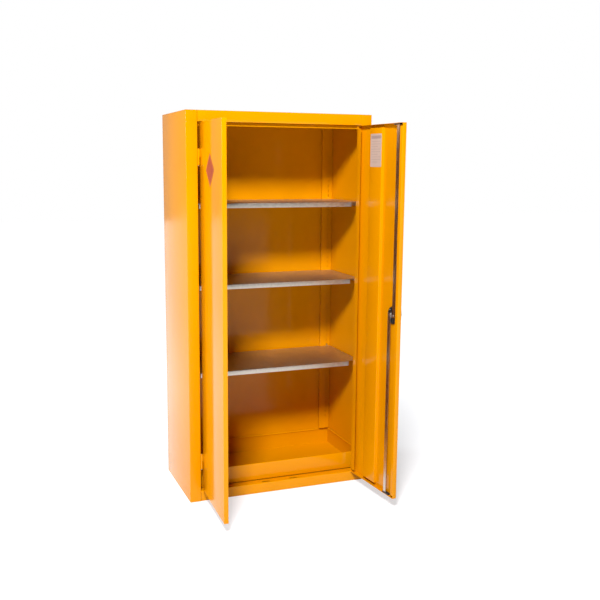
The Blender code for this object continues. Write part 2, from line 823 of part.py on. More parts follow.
def make_rod_guide(door, end):
    """Black bush on the inside of a door flange, slotted for the swinging rod."""
    swing = CAM_PIN_ARM / 2
    if end == "upper":
        middle, low_z = LOCK_FROM_AXIS + swing, DOOR_TOP - SHEET - GAP - GUIDE_HEIGHT
    else:
        middle, low_z = LOCK_FROM_AXIS - swing, DOOR_BOTTOM + SHEET + GAP
    half = ROD_SLOT_LENGTH / 2 + GUIDE_BORDER
    shallow, deep = SHEET + 4 * GAP, DOOR_THICKNESS - 2 * SHEET
    guide = add_box(
        f"rod_guide_{end}",
        *door.block(middle - half, middle + half, shallow, deep, low_z, low_z + GUIDE_HEIGHT),
        "black_plastic",
        door.frame,
    )
    slot = door.block(
        middle - ROD_SLOT_LENGTH / 2,
        middle + ROD_SLOT_LENGTH / 2,
        ROD_START - 0.0010,
        ROD_END + 0.0010,
        low_z - OVERCUT,
        low_z + GUIDE_HEIGHT + OVERCUT,
    )
    cut_boxes(guide, [slot])


def make_slide_bolt(door, end):
    """Hand-worked bolt on the left door, with the strap that holds it to the skin."""
    if end == "upper":
        low_z = DOOR_TOP + ROD_RETRACT - BOLT_LENGTH
        tab_z, strap_z = low_z, DOOR_TOP - STRAP_OFFSET
    else:
        low_z = DOOR_BOTTOM - ROD_RETRACT
        tab_z, strap_z = low_z + BOLT_LENGTH - BOLT_TAB_HEIGHT, DOOR_BOTTOM + STRAP_OFFSET
    half = ROD_WIDTH / 2
    middle = BOLT_FROM_AXIS
    bolt = add_box(
        f"slide_bolt_{end}",
        *door.block(
            middle - half, middle + half, ROD_START, ROD_END, low_z, low_z + BOLT_LENGTH
        ),
        "bright_steel",
        door.frame,
    )
    tab = door.block(
        middle - BOLT_TAB_WIDTH / 2,
        middle + BOLT_TAB_WIDTH / 2,
        ROD_START + 0.0010,
        BOLT_TAB_END,
        tab_z + 0.0010,
        tab_z + BOLT_TAB_HEIGHT - 0.0010,
    )
    join_boxes(bolt, [tab])

    foot = AXIS_PROUD + SHEET + GAP
    crown = AXIS_PROUD + ROD_END + 0.0010
    inner = half + 0.0010
    path = [
        (middle - inner - STIFFENER_BRIM, foot),
        (middle - inner, foot),
        (middle - inner, crown),
        (middle + inner, crown),
        (middle + inner, foot),
        (middle + inner + STIFFENER_BRIM, foot),
    ]
    folded_sheet(
        f"bolt_strap_{end}",
        path,
        "Z",
        strap_z - STRAP_HEIGHT / 2,
        strap_z + STRAP_HEIGHT / 2,
        STRAP_SHEET,
        "bright_steel",
        door.frame,
    )


def make_diamond_label(door):
    """Square label standing on its corner on the left door's outer face."""
    half = DIAMOND_SIDE / 2
    label = add_box(
        "diamond_label",
        (-half, -LABEL_THICKNESS / 2, -half),
        (half, LABEL_THICKNESS / 2, half),
        "red_label",
        door.frame,
    )
    label.location = door.point(DIAMOND_FROM_AXIS, -GAP - LABEL_THICKNESS / 2, DIAMOND_Z)
    label.rotation_euler.y = math.radians(45)


def make_notice_label(door):
    """Pale notice stuck to the crown of the right door's stiffener."""
    shallow = SHEET + GAP + STIFFENER_DEPTH + SHEET + GAP
    half_width, half_height = NOTICE_WIDTH / 2, NOTICE_HEIGHT / 2
    add_box(
        "notice_label",
        *door.block(
            NOTICE_FROM_AXIS - half_width,
            NOTICE_FROM_AXIS + half_width,
            shallow,
            shallow + LABEL_THICKNESS,
            NOTICE_Z - half_height,
            NOTICE_Z + half_height,
        ),
        "pale_label",
        door.frame,
    )


def make_left_door():
    door = Door("left")
    pan = make_door_pan(door)
    for z in (DOOR_BOTTOM, DOOR_TOP):
        cut_boxes(pan, [flange_slot(door, BOLT_FROM_AXIS, z)])
    make_door_stiffener(door)
    make_diamond_label(door)
    for end in ("upper", "lower"):
        make_hinge(door, end)
        make_slide_bolt(door, end)


def make_right_door():
    door = Door("right")
    pan = make_door_pan(door)
    swing = CAM_PIN_ARM / 2
    cut_boxes(pan, [flange_slot(door, LOCK_FROM_AXIS - swing, DOOR_BOTTOM)])
    cut_boxes(pan, [flange_slot(door, LOCK_FROM_AXIS + swing, DOOR_TOP)])
    cut_cylinder(pan, door.point(LOCK_FROM_AXIS, SHEET / 2, LOCK_Z), SHAFT_RADIUS + GAP, OVERCUT)
    make_door_stiffener(door)
    make_notice_label(door)
    make_lock(door)
    for end in ("upper", "lower"):
        make_hinge(door, end)
        make_lock_rod(door, end)
        make_rod_guide(door, end)


def make_carcass():
    for side in ("left", "right"):
        make_side_panel(side)
    make_back_panel()
    make_top_panel()
    make_top_door_stop()
    make_base_rail()
    make_sump_tray()
    make_base_channel()


def make_shelving():
    for end in ("front", "rear"):
        for side in ("left", "right"):
            make_upright(end, side)
    for level in SHELF_TOPS:
        make_shelf(level)
        for end in ("front", "rear"):
            for side in ("left", "right"):
                make_shelf_clip(level, end, side)


make_carcass()
make_shelving()
make_left_door()
make_right_door()
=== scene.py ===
"""Looks of the flammable storage cabinet: folded sheet, paint, zinc, labels, studio and camera.

Lengths are in metres. A door's own frame has its origin on the hinge axis at floor level: X runs
across the door from the axis (positive on the left door, negative on the right one) and Y goes
through the door, from its outer face to its inner one.
"""

import json
import math

import bmesh
import bpy
from mathutils import Matrix, Vector


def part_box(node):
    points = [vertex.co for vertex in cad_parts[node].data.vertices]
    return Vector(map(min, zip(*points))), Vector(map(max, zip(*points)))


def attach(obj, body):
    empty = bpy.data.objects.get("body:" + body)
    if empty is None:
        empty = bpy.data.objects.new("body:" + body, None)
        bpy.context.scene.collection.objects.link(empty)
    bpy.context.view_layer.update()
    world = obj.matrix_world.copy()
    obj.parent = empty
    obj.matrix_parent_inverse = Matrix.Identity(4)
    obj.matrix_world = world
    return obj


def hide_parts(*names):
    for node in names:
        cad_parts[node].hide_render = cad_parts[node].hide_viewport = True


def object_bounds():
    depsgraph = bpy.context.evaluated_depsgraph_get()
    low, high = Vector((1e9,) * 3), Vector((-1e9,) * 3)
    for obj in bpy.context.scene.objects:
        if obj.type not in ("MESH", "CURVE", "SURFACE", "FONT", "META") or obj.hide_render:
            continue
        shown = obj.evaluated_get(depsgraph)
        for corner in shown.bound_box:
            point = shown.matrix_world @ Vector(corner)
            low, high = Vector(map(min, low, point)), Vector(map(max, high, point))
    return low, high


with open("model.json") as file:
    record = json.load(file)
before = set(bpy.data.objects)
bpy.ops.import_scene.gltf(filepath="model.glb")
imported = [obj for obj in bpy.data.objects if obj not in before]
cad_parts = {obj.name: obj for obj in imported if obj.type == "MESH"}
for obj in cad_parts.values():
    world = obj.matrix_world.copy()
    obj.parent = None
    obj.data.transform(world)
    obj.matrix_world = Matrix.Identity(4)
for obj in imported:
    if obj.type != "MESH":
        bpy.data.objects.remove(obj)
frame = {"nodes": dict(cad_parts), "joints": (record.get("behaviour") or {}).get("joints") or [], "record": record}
CAD_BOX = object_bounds()
NODES = frame["nodes"]
SLOTS = {row["node"]: row["material_slot"] for row in frame["record"]["subparts"]}
JOINTS = {joint["name"]: joint for joint in frame["joints"]}

# Sheet thicknesses, the gap left between sheets that are welded in reality, and folds.
SHEET = 0.0012
SHELF_SHEET = 0.0010
SUMP_SHEET = 0.0015
STRAP_SHEET = 0.0015
GAP = 0.0003
FOLD_STEPS = 4
# The radius of a tray's folds and the gap inside its hem, in sheet thicknesses.
TRAY_FOLD = 1.5
HEM_GAP = 3.2

# Folds that a node's box doesn't show.
STILE_RETURN = 0.025
REAR_RETURN = 0.015
RAIL_HEIGHT = 0.050
RAIL_RETURN = 0.040
LEDGE_DOWNTURN = 0.015
FOOT_FLANGE = 0.025
HINGE_LIP = 0.035
FREE_LIP = 0.020
LIP_SETBACK = 0.0142
SHELF_RETURN = 0.012
SHELF_NOTCH_X = 0.379
SHELF_NOTCH_DEPTH = 0.010
SHELF_LIP_GAP = 0.0005
SUMP_HEM = 0.007
STIFFENER_BRIM = 0.012

# Slots and holes.
SLOT_X = 0.426
SLOT_WIDTH = 0.0045
SLOT_HEIGHT = 0.012
SLOT_EDGE = 0.0005
SLOT_PITCH = 0.025
SLOT_COUNT = 58
LOWEST_SLOT_Z = 0.20775
ROD_SLOT_LENGTH = 0.042
ROD_SLOT_WIDTH = 0.009
ROD_DEPTH = 0.0138
ROD_SWING = 0.009
BOLT_FROM_AXIS = 0.325
# How far a cutter runs past the sheet that it cuts.
CLEAR = 0.020

# Lock, handle and cam. The hinge axis stands proud of the door's outer face.
AXIS_PROUD = 0.0048
LOCK_FROM_AXIS = 0.333
LOCK_Z = 0.900
LOCK_HOLE_RADIUS = 0.0075
LOCK_BORE = 0.0073
SCREW_OFFSET = 0.0226
SCREW_RADIUS = 0.0030
RECESS_HALF_LENGTH = 0.0017
RECESS_HALF_WIDTH = 0.0004
RECESS_HALF_DEPTH = 0.0012
HUB_DEPTH = 0.016
HUB_THICKNESS = 0.014
HUB_RADIUS = 0.0260
BARREL_STEM = 0.0070
BARREL_TIP = 0.0050
BARREL_NOSE = 0.0033
BARREL_BORE_DEPTH = 0.0083
GRIP_HALF_WIDTH = 0.0090
GRIP_STEPS = 28
GRIP_SIDES = 28
GRIP_SQUARENESS = 0.55
CAM_SHEET = 0.0030
CAM_PIN_ARM = 0.018
CAM_PIN_RADIUS = 0.0030
NUT_RADIUS = 0.0058
NUT_HEIGHT = 0.0026

# Spot welds: a dimple's (radius, height) outline, the number in a row and the row's margin.
WELD_DIMPLE = [
    (0, 0.00005),
    (0.0016, 0.00008),
    (0.0024, 0.00030),
    (0.0032, 0.00034),
    (0.0040, -0.0001),
]
WELD_COUNT = 14
WELD_MARGIN = 0.04

# Labels.
DIAMOND_SIDE = 0.100
LABEL_CORNER = 0.003
NOTICE_HEADER = 0.014
NOTICE_LINES = 9
NOTICE_LINE_PITCH = 0.0115
NOTICE_LINE_WIDTH = 0.0016
NOTICE_MARGIN = 0.020
NOTICE_SHORT_LINE = 0.72

# Studio: the floor's glow near the cabinet and how far out it grows to one, the shaded floor
# under the cabinet, and the world's strength behind the cabinet and in front of it.
FLOOR_SIZE = 40.0
FLOOR_GLOW = 0.62
GLOW_START = 0.6
GLOW_END = 2.0
UNDER_X = 0.449
UNDER_Y = 0.215
WORLD_BACK = 0.34
WORLD_FRONT = 0.0
COVE_START = 0.25
COVE_END = 0.75
# A softbox is (name, position, target, side of its square, power in watts).
SOFTBOXES = [
    ("key", (-1.9, -3.9, 4.1), (0.0, -0.2, 0.9), 0.8, 455.0),
    ("side", (-3.6, 1.6, 2.2), (-0.45, 0.1, 1.0), 1.6, 98.0),
]

# Camera, solved from the carcass's corners: heading, pitch and roll in radians, lens in mm.
CAMERA_PLACE = (-1.36333, -3.85639, 1.55916)
CAMERA_HEADING = -0.36244
CAMERA_PITCH = -0.16381
CAMERA_ROLL = -0.00577
CAMERA_SENSOR = 36.0
CAMERA_LENS = 50.157
CAMERA_SHIFT = (0.0269, 0.0072)


# ---------------------------------------------------------------- materials


class Shader:
    """A Principled material and short calls that add nodes to it."""

    def __init__(self, name, colour, roughness, metallic=0.0):
        self.material = bpy.data.materials.new(name)
        self.material.use_nodes = True
        self.tree = self.material.node_tree
        self.principled = self.tree.nodes["Principled BSDF"]
        self.set("Base Color", (*colour, 1.0))
        self.set("Roughness", roughness)
        self.set("Metallic", metallic)
        self.coordinates = self.tree.nodes.new("ShaderNodeTexCoord").outputs["Object"]

    def set(self, socket, value):
        self.principled.inputs[socket].default_value = value

    def link(self, output, socket):
        self.tree.links.new(output, socket)

    def drive(self, output, socket):
        self.link(output, self.principled.inputs[socket])

    def node(self, kind, **inputs):
        made = self.tree.nodes.new(kind)
        for name, value in inputs.items():
            socket = made.inputs[name.replace("_", " ")]
            if isinstance(value, bpy.types.NodeSocket):
                self.link(value, socket)
            else:
                socket.default_value = value
        return made

    def noise(self, scale, detail=2.0, roughness=0.5, vector=None):
        source = vector or self.coordinates
        made = self.node("ShaderNodeTexNoise", Vector=source, Scale=scale, Detail=detail)
        made.inputs["Roughness"].default_value = roughness
        return made.outputs["Fac"]

    def spread(self, value, low, high, start=0.0, end=1.0):
        """Maps a value from start..end to low..high."""
        made = self.node("ShaderNodeMapRange", Value=value)
        made.inputs["From Min"].default_value = start
        made.inputs["From Max"].default_value = end
        made.inputs["To Min"].default_value = low
        made.inputs["To Max"].default_value = high
        return made.outputs["Result"]

    def mix(self, factor, first, second):
        made = self.tree.nodes.new("ShaderNodeMix")
        made.data_type = "RGBA"
        # Sockets 0, 6 and 7 are the factor and the two colours, and output 2 is the mixed colour.
        self.link(factor, made.inputs[0])
        for socket, value in ((made.inputs[6], first), (made.inputs[7], second)):
            if isinstance(value, bpy.types.NodeSocket):
                self.link(value, socket)
            else:
                socket.default_value = (*value, 1.0)
        return made.outputs[2]

    def math(self, operation, *values):
        made = self.tree.nodes.new("ShaderNodeMath")
        made.operation = operation
        for socket, value in zip(made.inputs, values):
            if isinstance(value, bpy.types.NodeSocket):
                self.link(value, socket)
            else:
                socket.default_value = value
        return made.outputs[0]

    def bump(self, height, distance, strength=1.0):
        made = self.node("ShaderNodeBump", Height=height, Distance=distance, Strength=strength)
        self.drive(made.outputs["Normal"], "Normal")


def yellow_paint():
    """Gloss powder coat: orange peel, slow drift in the colour and fine darker specks."""
    paint = Shader("yellow_powder_coat", (0.64, 0.24, 0.0), 0.12)
    drift = paint.spread(paint.noise(3.0, 3.0), 0.0, 1.0, 0.35, 0.65)
    tone = paint.mix(drift, (0.63, 0.231, 0.0), (0.65, 0.246, 0.0))
    specks = paint.spread(paint.noise(650.0, 1.0), 0.0, 0.25, 0.66, 0.78)
    paint.drive(paint.mix(specks, tone, (0.56, 0.195, 0.0)), "Base Color")
    paint.drive(paint.spread(paint.noise(9.0, 4.0, 0.6), 0.09, 0.15, 0.35, 0.65), "Roughness")
    paint.set("Specular IOR Level", 0.17)
    paint.bump(paint.noise(380.0, 2.0), 0.0002, 0.16)
    return paint.material


def galvanised_steel():
    """Zinc spangle: cells of slightly different grey and gloss, with a fine rolled grain. Both greys are warmed
    towards orange: painted reflection of the yellow paint around the shelves, not the zinc's own colour.
    """
    zinc = Shader("galvanised_steel", (0.50, 0.50, 0.49), 0.30, 1.0)
    cells = zinc.node("ShaderNodeTexVoronoi", Vector=zinc.coordinates, Scale=110.0)
    shade = zinc.spread(cells.outputs["Color"], 0.0, 1.0)
    # The spangle's grey cells are real; their warm tint is painted reflection of the surrounding yellow paint.
    zinc.drive(zinc.mix(shade, (0.50, 0.46, 0.40), (0.60, 0.555, 0.49)), "Base Color")
    zinc.drive(zinc.spread(cells.outputs["Color"], 0.34, 0.46), "Roughness")
    zinc.bump(zinc.noise(260.0, 3.0), 0.0002, 0.18)
    return zinc.material


def bright_steel():
    """Zinc-plated bar with a fine drawn grain along its length."""
    steel = Shader("zinc_plated_steel", (0.62, 0.60, 0.56), 0.30, 1.0)
    stretched = steel.node("ShaderNodeMapping", Vector=steel.coordinates)
    stretched.inputs["Scale"].default_value = (1.0, 1.0, 0.03)
    grain = steel.noise(900.0, 2.0, 0.6, stretched.outputs["Vector"])
    steel.drive(steel.spread(grain, 0.22, 0.40, 0.3, 0.7), "Roughness")
    clouds = steel.noise(40.0, 3.0)
    steel.drive(steel.mix(clouds, (0.50, 0.49, 0.46), (0.68, 0.66, 0.63)), "Base Color")
    steel.bump(grain, 0.0001, 0.15)
    return steel.material


def black_plastic():
    """Glass-filled nylon with a fine spark-eroded grain."""
    plastic = Shader("black_nylon", (0.012, 0.012, 0.013), 0.45)
    grain = plastic.noise(1500.0, 3.0, 0.7)
    plastic.drive(plastic.spread(grain, 0.36, 0.55, 0.3, 0.7), "Roughness")
    clouds = plastic.noise(60.0, 3.0)
    plastic.drive(plastic.mix(clouds, (0.010, 0.010, 0.011), (0.018, 0.018, 0.019)), "Base Color")
    plastic.bump(grain, 0.0001, 0.3)
    return plastic.material


def label_vinyl(name, colour, roughness):
    """Printed vinyl: faintly mottled, with a slightly uneven laminate."""
    vinyl = Shader(name, colour, roughness)
    paler = tuple(min(1.0, channel * 1.12 + 0.01) for channel in colour)
    vinyl.drive(vinyl.mix(vinyl.noise(25.0, 3.0), colour, paler), "Base Color")
    gloss = vinyl.spread(vinyl.noise(60.0, 2.0), roughness - 0.05, roughness + 0.05)
    vinyl.drive(gloss, "Roughness")
    vinyl.set("Specular IOR Level", 0.2)
    vinyl.bump(vinyl.noise(300.0, 2.0), 0.0001, 0.1)
    return vinyl.material


MATERIALS = {
    "yellow_paint": yellow_paint(),
    "galvanised_steel": galvanised_steel(),
    "bright_steel": bright_steel(),
    "black_plastic": black_plastic(),
    "red_label": label_vinyl("red_vinyl", (0.27, 0.030, 0.005), 0.40),
    "pale_label": label_vinyl("pale_vinyl", (0.45, 0.335, 0.28), 0.5),
}
LABEL_BORDER = label_vinyl("label_border", (0.45, 0.13, 0.035), 0.40)
LABEL_PRINT = label_vinyl("label_print", (0.30, 0.22, 0.20), 0.5)


# ---------------------------------------------------------------- places


class DoorFrame:
    """A door's own frame at rest, taken from its hinge in the record."""

    def __init__(self, side):
        self.side = side
        self.sign = 1 if side == "left" else -1
        self.body = f"door_{side}"
        joint = JOINTS[f"door_{side}_hinge"]
        open_angle = joint["range_deg"][1] if side == "left" else joint["range_deg"][0]
        x, y, _ = joint["pos_m"]
        turn = Matrix.Rotation(math.radians(-open_angle), 4, "Z")
        self.matrix = Matrix.Translation((x, y, 0.0)) @ turn

    def box(self, node):
        """A node's lowest and highest corners in the door's frame."""
        back = self.matrix.inverted()
        corners = [back @ vertex.co for vertex in NODES[node].data.vertices]
        low = Vector(min(corner[axis] for corner in corners) for axis in range(3))
        high = Vector(max(corner[axis] for corner in corners) for axis in range(3))
        return low, high


DOORS = {side: DoorFrame(side) for side in ("left", "right")}
UPRIGHT = Matrix.Identity(4)
# A path drawn in (y, z) and run along X.
ALONG_X = Matrix(((0, 0, 1, 0), (1, 0, 0, 0), (0, 1, 0, 0), (0, 0, 0, 1)))
# Turns Z to a door's Y, from its outer face inwards.
INWARDS = Matrix.Rotation(math.radians(-90), 4, "X")


def take_over(piece, body, slot, *nodes):
    """Paints a finished piece and lets it stand for CAD nodes."""
    if not piece.data.materials:
        piece.data.materials.append(MATERIALS[slot])
    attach(piece, body)
    if nodes:
        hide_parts(*nodes)
    return piece


def add_object(name, shape, matrix):
    """Turns a bmesh into an object whose mesh is already in place."""
    mesh = bpy.data.meshes.new(name)
    shape.to_mesh(mesh)
    shape.free()
    mesh.transform(matrix)
    if matrix.is_negative:
        mesh.flip_normals()
    piece = bpy.data.objects.new(name, mesh)
    bpy.context.scene.collection.objects.link(piece)
    return piece


def apply_modifiers(piece):
    """Makes the modifiers' result the piece's own mesh."""
    depsgraph = bpy.context.evaluated_depsgraph_get()
    finished = bpy.data.meshes.new_from_object(piece.evaluated_get(depsgraph))
    piece.modifiers.clear()
    piece.data = finished


def shade(piece, angle=30):
    """Smooth shading, with the edges sharper than the angle left sharp."""
    piece.data.shade_smooth()
    piece.data.set_sharp_from_angle(angle=math.radians(angle))


def thicken(piece, sheet):
    """Gives a surface its sheet thickness, on the side away from its normals."""
    solid = piece.modifiers.new("sheet", "SOLIDIFY")
    solid.thickness = sheet
    solid.offset = -1.0
    solid.use_even_offset = True


def cut(piece, *cutters):
    """Cuts holes and leaves the piece's mesh finished."""
    for cutter in cutters:
        hole = piece.modifiers.new("hole", "BOOLEAN")
        hole.operation = "DIFFERENCE"
        hole.solver = "EXACT"
        hole.object = cutter
    apply_modifiers(piece)
    for cutter in cutters:
        bpy.data.objects.remove(cutter, do_unlink=True)


def soften(piece, width=0.0003, segments=2):
    """Rounds the raw edges that a shear or a punch leaves."""
    rounding = piece.modifiers.new("edges", "BEVEL")
    rounding.width = width
    rounding.segments = segments
    rounding.limit_method = "ANGLE"
    rounding.angle_limit = math.radians(50)
    rounding.harden_normals = False


# ---------------------------------------------------------------- mesh makers


def rounded_path(points, sheet):
    """Replaces each bend of a path by an arc, so that the metal on its left keeps its thickness."""
    path = [Vector(points[0])]
    for before, corner, after in zip(points, points[1:], points[2:]):
        before, corner, after = Vector(before), Vector(corner), Vector(after)
        into, out = (corner - before).normalized(), (after - corner).normalized()
        turn = math.atan2(into.x * out.y - into.y * out.x, into.dot(out))
        radius = 2 * sheet if turn > 0 else sheet
        back_off = radius * math.tan(abs(turn) / 2)
        start, end = corner - into * back_off, corner + out * back_off
        side = Vector((-into.y, into.x)) * math.copysign(radius, turn)
        centre = start + side
        for step in range(FOLD_STEPS + 1):
            angle = turn * step / FOLD_STEPS
            spoke = Matrix.Rotation(angle, 2) @ (-side)
            path.append(centre + spoke)
        path[-1] = end
    path.append(Vector(points[-1]))
    return path


def folded(name, points, start, end, sheet, matrix, mirrored=False):
    """Folded sheet with rounded bends: a path run from start to end."""
    if mirrored:
        points = [(-x, y) for x, y in reversed(points)]
    path = rounded_path(points, sheet)
    shape = bmesh.new()
    near, far = ([shape.verts.new((*point, z)) for point in path] for z in (start, end))
    for index in range(len(path) - 1):
        shape.faces.new((near[index], near[index + 1], far[index + 1], far[index]))
    piece = add_object(name, shape, matrix)
    thicken(piece, sheet)
    apply_modifiers(piece)
    shade(piece)
    return piece


def boxes(name, corners, matrix):
    """One mesh of separate boxes, each given by its low and high corners."""
    shape = bmesh.new()
    for low, high in corners:
        low, high = Vector(low), Vector(high)
        place = Matrix.Translation((low + high) / 2) @ Matrix.Diagonal((*(high - low), 1.0))
        bmesh.ops.create_cube(shape, size=1.0, matrix=place)
    return add_object(name, shape, matrix)


def stadium(length, width, steps=8):
    """Outline of a slot with round ends, its length along X."""
    radius, straight = width / 2, (length - width) / 2
    outline = []
    for end in (1, -1):
        for step in range(steps + 1):
            angle = math.pi * step / steps - math.pi / 2
            x = end * (straight + radius * math.cos(angle))
            outline.append((x, end * radius * math.sin(angle)))
    return outline


def prism(shape, outline, start, end, matrix):
    """Adds a closed prism on an outline to a bmesh, run along the matrix's Z."""
    near, far = (
        [shape.verts.new(matrix @ Vector((x, y, z))) for x, y in outline] for z in (start, end)
    )
    shape.faces.new(reversed(near))
    shape.faces.new(far)
    count = len(outline)
    for index in range(count):
        after = (index + 1) % count
        shape.faces.new((near[index], near[after], far[after], far[index]))


def slot_cutter(name, places, length, width, matrix, upright=False):
    """Round-ended slots at places (x, y, z), long on X, or long on Z and open on Y if upright."""
    shape = bmesh.new()
    turn, reach, steps = Matrix.Identity(4), CLEAR / 2, 8
    if upright:
        turn = Matrix.Rotation(math.radians(90), 4, "X") @ Matrix.Rotation(math.radians(90), 4, "Z")
        reach, steps = SHEET + 0.002, 4
    outline = stadium(length, width, steps)
    for place in places:
        prism(shape, outline, -reach, reach, Matrix.Translation(place) @ turn)
    bmesh.ops.recalc_face_normals(shape, faces=shape.faces)
    return add_object(name, shape, matrix)


def lathe(shape, profile, matrix, segments=48):
    """Adds a turned solid to a bmesh: a profile of (radius, height) about the matrix's Z."""
    rings = []
    for radius, height in profile:
        if radius == 0:
            rings.append([shape.verts.new(matrix @ Vector((0, 0, height)))])
            continue
        ring = []
        for step in range(segments):
            angle = 2 * math.pi * step / segments
            point = Vector((radius * math.cos(angle), radius * math.sin(angle), height))
            ring.append(shape.verts.new(matrix @ point))
        rings.append(ring)
    for first, second in zip(rings, rings[1:]):
        for step in range(segments):
            after = (step + 1) % segments
            if len(first) == 1:
                shape.faces.new((first[0], second[after], second[step]))
            elif len(second) == 1:
                shape.faces.new((first[step], first[after], second[0]))
            else:
                shape.faces.new((first[step], first[after], second[after], second[step]))


def extruded(shape, edges):
    """Extrudes edges and returns the new vertices, still in the old ones' places."""
    made = bmesh.ops.extrude_edge_only(shape, edges=edges)["geom"]
    return [item for item in made if isinstance(item, bmesh.types.BMVert)]


def open_box(name, low, high, open_axis, open_end, sheet, matrix, lips=(), hem=0.0):
    """Folded tray: five sheets of a box with rounded folds, and lips on some of its open edges.

    A lip is (axis, end, width, setback): the open edge it stands on and how far its ends stop
    short of the corners. A hem is the height of a return folded back inside the open edges.
    """
    low, high = Vector(low), Vector(high)
    shape = bmesh.new()
    place = Matrix.Translation((low + high) / 2) @ Matrix.Diagonal((*(high - low), 1.0))
    bmesh.ops.create_cube(shape, size=1.0, matrix=place)
    mouth = high[open_axis] if open_end > 0 else low[open_axis]
    lid = [f for f in shape.faces if abs(f.calc_center_median()[open_axis] - mouth) < 1e-6]
    bmesh.ops.delete(shape, geom=lid, context="FACES_ONLY")
    for axis, _, _, setback in lips:
        along = 3 - open_axis - axis
        for level in (low[along] + setback, high[along] - setback):
            normal = Vector((0, 0, 0))
            normal[along] = 1
            everything = shape.verts[:] + shape.edges[:] + shape.faces[:]
            bmesh.ops.bisect_plane(
                shape, geom=everything, plane_co=normal * level, plane_no=normal
            )
    for axis, end, width, setback in lips:
        along = 3 - open_axis - axis
        wall = high[axis] if end > 0 else low[axis]
        edges = []
        for edge in shape.edges:
            middle = (edge.verts[0].co + edge.verts[1].co) / 2
            inside = low[along] + setback < middle[along] < high[along] - setback
            if edge.is_boundary and inside and abs(middle[axis] - wall) < 1e-6:
                edges.append(edge)
        for vert in extruded(shape, edges):
            vert.co[axis] -= end * width
    if hem:
        centre = (low + high) / 2
        for vert in extruded(shape, [edge for edge in shape.edges if edge.is_boundary]):
            for axis in range(3):
                if axis != open_axis:
                    inwards = math.copysign(HEM_GAP * sheet, vert.co[axis] - centre[axis])
                    vert.co[axis] -= inwards
        for vert in extruded(shape, [edge for edge in shape.edges if edge.is_boundary]):
            vert.co[open_axis] -= open_end * hem
    bmesh.ops.remove_doubles(shape, verts=shape.verts, dist=1e-7)
    bmesh.ops.recalc_face_normals(shape, faces=shape.faces)
    level = low[open_axis] if open_end > 0 else high[open_axis]
    bottom = [f for f in shape.faces if abs(f.calc_center_median()[open_axis] - level) < 1e-6]
    if bottom[0].normal[open_axis] * open_end > 0:
        bmesh.ops.reverse_faces(shape, faces=shape.faces)
    bends = []
    for edge in shape.edges:
        if len(edge.link_faces) == 2 and edge.calc_face_angle() > math.radians(30):
            bends.append(edge)
    bmesh.ops.bevel(
        shape,
        geom=bends,
        offset=TRAY_FOLD * sheet,
        segments=FOLD_STEPS,
        profile=0.5,
        affect="EDGES",
        clamp_overlap=True,
    )
    piece = add_object(name, shape, matrix)
    thicken(piece, sheet)
    apply_modifiers(piece)
    shade(piece)
    return piece


# ---------------------------------------------------------------- carcass


def make_side_panel(side):
    node = f"side_panel_{side}"
    low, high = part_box(node)
    inner, outer = sorted((abs(low.x), abs(high.x)))
    path = [
        (inner, low.y + STILE_RETURN),
        (inner, low.y),
        (outer, low.y),
        (outer, high.y),
        (outer - REAR_RETURN, high.y),
    ]
    sheet = folded(f"{node}_sheet", path, low.z, high.z, SHEET, UPRIGHT, side == "left")
    take_over(sheet, "cabinet", "yellow_paint", node)


def frame_slot_places(z, swing):
    """Where the right door's rod and the left door's bolt pass the rail or the ledge."""
    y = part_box("base_rail")[0].y + ROD_DEPTH
    hinge_x = JOINTS["door_right_hinge"]["pos_m"][0]
    return [(hinge_x - LOCK_FROM_AXIS - swing, y, z), (BOLT_FROM_AXIS - hinge_x, y, z)]


def make_top_panel():
    low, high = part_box("top_panel")
    rail_z = high.z - RAIL_HEIGHT
    path = [
        (high.y, high.z),
        (low.y, high.z),
        (low.y, rail_z),
        (low.y + RAIL_RETURN, rail_z),
    ]
    top = folded("top_panel_sheet", path, low.x, high.x, SHEET, ALONG_X)
    rail_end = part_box("base_rail")[1].x
    corner_top = high.z - SHEET - GAP
    corners = []
    for start, end in ((rail_end, high.x + CLEAR), (low.x - CLEAR, -rail_end)):
        corners.append(((start, low.y - CLEAR, rail_z - CLEAR), (end, 0, corner_top)))
    notches = boxes("top_panel_notches", corners, UPRIGHT)
    places = frame_slot_places(rail_z, ROD_SWING)
    slots = slot_cutter("rail_slots", places, ROD_SLOT_LENGTH, ROD_SLOT_WIDTH, UPRIGHT)
    cut(top, notches, slots)
    shade(top)
    take_over(top, "cabinet", "yellow_paint", "top_panel")


def make_door_stop():
    low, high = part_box("top_door_stop")
    path = [(high.y, high.z), (low.y, high.z), (low.y, low.z)]
    stop = folded("top_door_stop_sheet", path, low.x, high.x, SHEET, ALONG_X)
    take_over(stop, "cabinet", "yellow_paint", "top_door_stop")


def make_base_rail():
    low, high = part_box("base_rail")
    path = [
        (high.y, high.z - LEDGE_DOWNTURN),
        (high.y, high.z),
        (low.y, high.z),
        (low.y, low.z),
        (low.y + FOOT_FLANGE, low.z),
    ]
    rail = folded("base_rail_sheet", path, low.x, high.x, SHEET, ALONG_X)
    places = frame_slot_places(high.z, -ROD_SWING)
    cut(rail, slot_cutter("ledge_slots", places, ROD_SLOT_LENGTH, ROD_SLOT_WIDTH, UPRIGHT))
    shade(rail)
    take_over(rail, "cabinet", "yellow_paint", "base_rail")


def make_sump_tray():
    low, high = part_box("sump_tray")
    tray = open_box("sump_tray_sheet", low, high, 2, 1, SUMP_SHEET, UPRIGHT, hem=SUMP_HEM)
    take_over(tray, "cabinet", "yellow_paint", "sump_tray")


